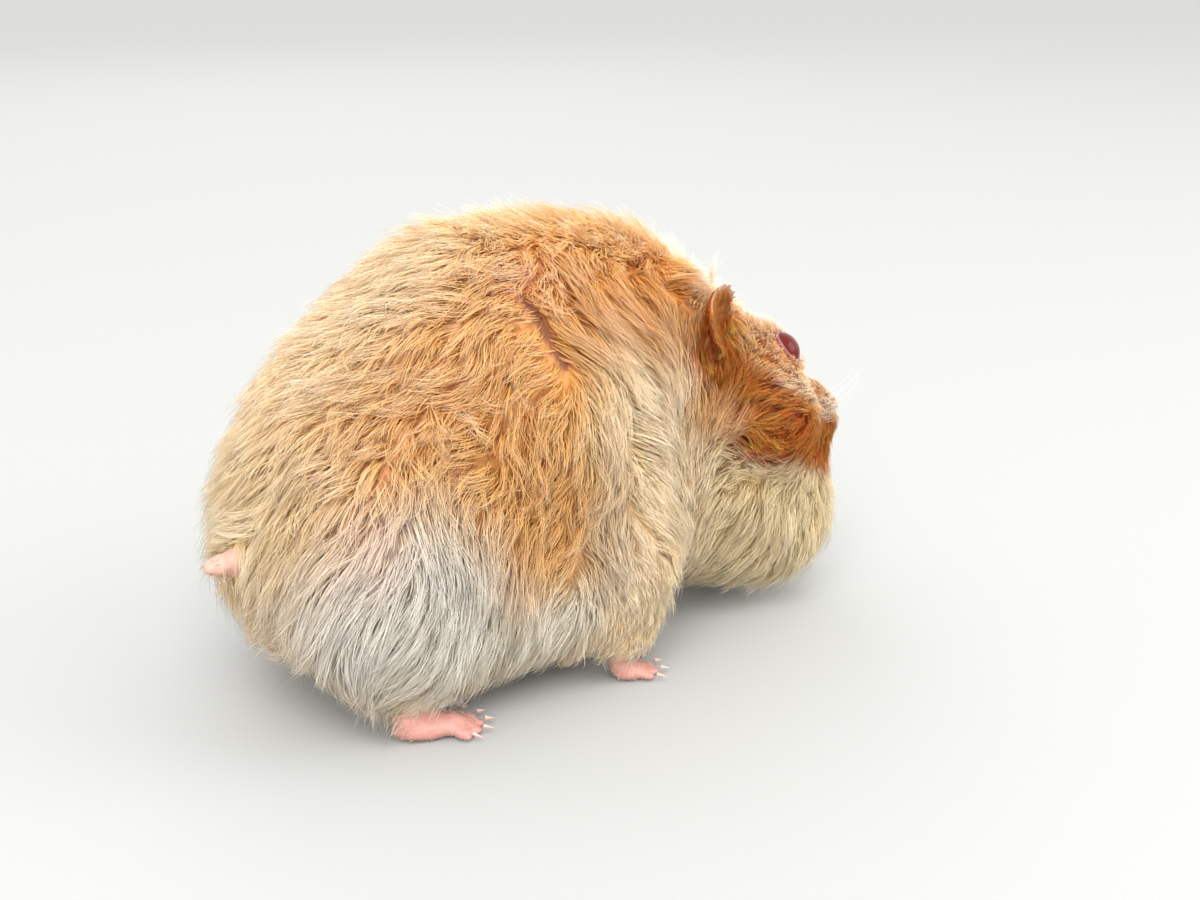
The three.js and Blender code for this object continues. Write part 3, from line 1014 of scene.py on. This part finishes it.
def eye_material():
    material, _, _, shader = new_material("eye")
    set_inputs(shader, {
        "Base Color": (0.095, 0.005, 0.004, 1),
        "Roughness": 0.08,
        "Specular IOR Level": 0.18,
    })
    return material


def horn_material():
    material, nodes, links, shader = new_material("horn")
    ramp = nodes.new("ShaderNodeValToRGB")
    ramp.color_ramp.elements[0].color = (0.42, 0.27, 0.21, 1)
    ramp.color_ramp.elements[1].color = (0.60, 0.44, 0.36, 1)
    links.new(grain(nodes, links, {"Scale": 900}), ramp.inputs["Fac"])
    links.new(ramp.outputs["Color"], shader.inputs["Base Color"])
    set_inputs(shader, {"Roughness": 0.35})
    return material


# ---- Assembly ----
skin_mesh = mesh_from("skin", skin.points, skin.loops, skin.starts)
skin_object = add_object("skin", skin_mesh)
skin_uv = unwrap(skin_object)
paint(skin_mesh, "Markings", skin_colour(skin.points, skin_normals, kinds))
SKIN = skin_material()
COAT = coat_material()
skin_mesh.materials.append(SKIN)
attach(skin_object, "root")
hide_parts(*FLESH)


def triangles_with(shares):
    return 1 + (len(shares) - 1) * STRAND_SIDES * 2 + STRAND_SIDES


def strand_triangles(length, under):
    """How many triangles a strand takes. Those of the undercoat have the fewest rings."""
    total = np.where(under, triangles_with(STRAND_RINGS[0.0][0]), 0)
    for least, (shares, _) in STRAND_RINGS.items():
        total = np.where((total == 0) & (length >= least), triangles_with(shares), total)
    return total


def coat_weight():
    """How closely strands stand at each vertex of the skin."""
    weight = style[:, DENSITY] * (1 - thin_coat(skin.points))
    ear = kinds == "ear"
    weight[ear] *= 1 - 0.45 * ear_inside(skin.points[ear], skin_normals[ear])
    for side in "lr":
        near = off_eye(skin.points, side) < LID_REACH
        weight[near & (eye_angle(skin.points, side) < LID_OPENING + LID_RIM)] = 0
    weight[kinds == "nose"] = 0
    weight[round_tail(skin.points) & (kinds != "tail")] = 0
    return weight


def strand_count(weight):
    """As many strands as the coat's triangles allow."""
    share = skin.per_triangle(weight)
    length = style[skin.triangles, LENGTH].mean(1)
    fine = strand_triangles(length, np.zeros(len(length), bool))
    low = strand_triangles(length, np.ones(len(length), bool))
    each = mix(fine, low, UNDERCOAT["share"])
    return int(COAT_TRIANGLES * share.sum() / (share * each).sum())


def build_coat():
    weight = coat_weight()
    roots = Roots(strand_count(weight), weight, skin_uv)
    locks = Roots(LOCKS, 0.4 * weight + 0.6 * (weight > 0), skin_uv)
    middle_line, width, lock_of, under = grow_strands(roots, locks, grow_guides(locks, skin.tree()))
    tips = middle_line(np.arange(len(roots.points)), [1.0])[:, 0]
    at_root, at_tip = strand_colours(roots, tips, lock_of, locks)
    size = strand_triangles(roots.style[:, LENGTH], under)
    names = piece_names(roots)
    for shares, girth in STRAND_RINGS.values():
        each = triangles_with(shares)
        for name in np.unique(names):
            members = np.flatnonzero((names == name) & (size == each))
            step = PIECE_TRIANGLES // each
            for start in range(0, len(members), step):
                pick = members[start:start + step]
                title = f"{name}_{len(shares)}_{start // step + 1}"
                line = middle_line(pick, [*shares, 1.0])
                looks = (width[pick], roots.normals[pick], (at_root[pick], at_tip[pick]), roots.uv[pick])
                mesh = strand_mesh(title, line, shares, girth, *looks)
                mesh.materials.append(COAT)
                piece = add_object(title, mesh)
                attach(piece, "root")


build_coat()


def smooth_mesh(name, points, faces):
    mesh = bpy.data.meshes.new(name)
    mesh.from_pydata((points * MM).tolist(), [], faces)
    mesh.polygons.foreach_set("use_smooth", [True] * len(faces))
    return mesh


def ball(name, centre, radius, columns=48, rows=28):
    u = np.linspace(0, 2 * math.pi, columns, endpoint=False)
    v = np.linspace(0, math.pi, rows + 1)[1:-1]
    rings = [[math.sin(b) * math.cos(a), math.sin(b) * math.sin(a), math.cos(b)] for b in v for a in u]
    points = np.array([[0, 0, 1], *rings, [0, 0, -1]]) * radius + centre
    faces = [[0, 1 + i, 1 + (i + 1) % columns] for i in range(columns)]
    for r in range(len(v) - 1):
        for i in range(columns):
            a, b = 1 + r * columns + i, 1 + r * columns + (i + 1) % columns
            faces.append([a, a + columns, b + columns, b])
    end, last = len(points) - 1, 1 + (len(v) - 1) * columns
    faces += [[end, last + (i + 1) % columns, last + i] for i in range(columns)]
    return add_object(name, smooth_mesh(name, points, faces))


LID = {"steps": 64, "sides": 10, "thick": 0.2, "broad": 0.36, "off": 0.08}
LID_MIDDLE = LID_OPENING + math.radians(3)


def lid_ring(side):
    """The points and faces of the lids' rim, a roll of skin."""
    axis = eye_axis(side)
    across = unit(np.cross(axis, [0, 0, 1]))
    upward = np.cross(across, axis)
    points, faces = [], []
    for i in range(LID["steps"]):
        turn = 2 * math.pi * i / LID["steps"]
        out = across * math.cos(turn) + upward * math.sin(turn)
        ray = axis * math.cos(LID_MIDDLE) + out * math.sin(LID_MIDDLE)
        slope = out * math.cos(LID_MIDDLE) - axis * math.sin(LID_MIDDLE)
        middle = EYES[side] + ray * (EYE_RADIUS + LID["off"])
        for k in range(LID["sides"]):
            around = 2 * math.pi * k / LID["sides"]
            roll = ray * LID["thick"] * math.cos(around) + slope * LID["broad"] * math.sin(around)
            points.append(middle + roll)
            a, b = i * LID["sides"], (i + 1) % LID["steps"] * LID["sides"]
            m = (k + 1) % LID["sides"]
            faces.append([a + k, a + m, b + m, b + k])
    return np.array(points), faces


def build_lids():
    for side in "lr":
        points, faces = lid_ring(side)
        mesh = smooth_mesh("lid_" + side, points, faces)
        paint(mesh, "Markings", np.tile(linear("lid"), (len(points), 1)))
        mesh.materials.append(SKIN)
        piece = add_object("lid_" + side, mesh)
        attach(piece, "root")


WHISKERS = {"rows": 4, "columns": 4, "length": (9.0, 16.0), "width": 0.11}
# Where the first whisker grows in the face's frame, and the gaps of columns and rows.
WHISKER_ROOT, WHISKER_GAPS = (10.5, 12, -3.0), (1.9, 1.7)


def build_whiskers():
    """Rows of whiskers on each side of the muzzle, swept outwards and back."""
    shares = np.linspace(0, 0.86, 7)
    tree = skin.tree()
    lines, normals = [], []
    low, high = WHISKERS["length"]
    (x, y, z), (along, down) = WHISKER_ROOT, WHISKER_GAPS
    for out in (-1, 1):
        for row in range(WHISKERS["rows"]):
            for column in range(WHISKERS["columns"]):
                local = np.array([x + along * column, y * out, z - down * row])
                at, up, _, _ = tree.find_nearest(Vector(BROW + local @ FACE))
                length = mix(high, low, column / (WHISKERS["columns"] - 1)) * rng.uniform(0.85, 1.1)
                way = unit(np.array([0.15 - 0.12 * row, out, 0.22 - 0.2 * row]) @ FACE)
                back = unit(np.array([-1.0, 0.1 * out, -0.25]) @ FACE)
                t = np.array([*shares, 1.0])[:, None]
                lines.append(np.array(at) + length * (way * t + back * 0.45 * t * t))
                normals.append(np.array(up))
    lines, normals = np.array(lines), np.array(normals)
    count = len(lines)
    pale = np.tile(linear("white_cream"), (count, 1))
    girth = 1 - 0.8 * shares
    width = np.full(count, WHISKERS["width"])
    uv = np.tile([0.5, 0.5], (count, 1))
    mesh = strand_mesh("whiskers", lines, shares, girth, width, normals, (pale * 0.6, pale), uv)
    mesh.materials.append(COAT)
    piece = add_object("whiskers", mesh)
    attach(piece, "root")


build_lids()
build_whiskers()

EYE = eye_material()
for side in "lr":
    eyeball = ball("eyeball_" + side, EYES[side], EYE_RADIUS)
    eyeball.data.materials.append(EYE)
    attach(eyeball, "root")
    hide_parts("eye_" + side)

HORN = horn_material()
for name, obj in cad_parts.items():
    if "claw" in name:
        for slot in obj.material_slots:
            slot.material = HORN


# ---- Stage ----
VIEW = {"azimuth": -30.0, "elevation": 20.5, "distance": 255.0}
VIEW_TARGET = (5.035, -12.0, 38.5)
VIEW_LENS = 45.0
FLOOR_SIZE = 4.0  # half its side, in metres
# In metres and watts: each lamp's place, size and power, and where all are aimed.
LAMPS = {
    "key": ((-0.35, -0.6, 0.75), 0.7, 11.0),
    "fill": ((0.75, -0.5, 0.5), 0.6, 4.0),
    "rim": ((0.2, 0.8, 0.6), 0.5, 1.5),
}
LAMPS_AIM = Vector((0, 0, 0.035))


def build_floor():
    material, _, _, shader = new_material("floor")
    set_inputs(shader, {"Base Color": (0.35, 0.355, 0.35, 1), "Roughness": 0.9})
    mesh = bpy.data.meshes.new("floor")
    corners = [(x * FLOOR_SIZE, y * FLOOR_SIZE, 0) for x, y in ((-1, -1), (1, -1), (1, 1), (-1, 1))]
    mesh.from_pydata(corners, [], [[0, 1, 2, 3]])
    mesh.materials.append(material)
    add_object("floor", mesh)


def light_studio():
    world = bpy.data.worlds.new("studio")
    world.use_nodes = True
    background = world.node_tree.nodes["Background"]
    set_inputs(background, {"Color": (1.0, 0.99, 0.97, 1), "Strength": 1.75})
    bpy.context.scene.world = world
    for name, (place, size, power) in LAMPS.items():
        data = bpy.data.lights.new(name, "AREA")
        data.size = size
        data.energy = power
        lamp = add_object(name, data)
        lamp.location = place
        lamp.rotation_euler = (LAMPS_AIM - Vector(place)).to_track_quat("-Z", "Y").to_euler()


def place_camera():
    a, e = math.radians(VIEW["azimuth"]), math.radians(VIEW["elevation"])
    back = Vector((math.sin(a) * math.cos(e), -math.cos(a) * math.cos(e), math.sin(e)))
    data = bpy.data.cameras.new("camera")
    data.lens = VIEW_LENS
    data.sensor_width = 36
    data.clip_start = 0.01
    obj = add_object("camera", data)
    obj.location = (Vector(VIEW_TARGET) + back * VIEW["distance"]) * MM
    obj.rotation_euler = back.to_track_quat("Z", "Y").to_euler()
    bpy.context.scene.camera = obj


build_floor()
light_studio()
place_camera()
bpy.context.scene.view_settings.view_transform = "Standard"
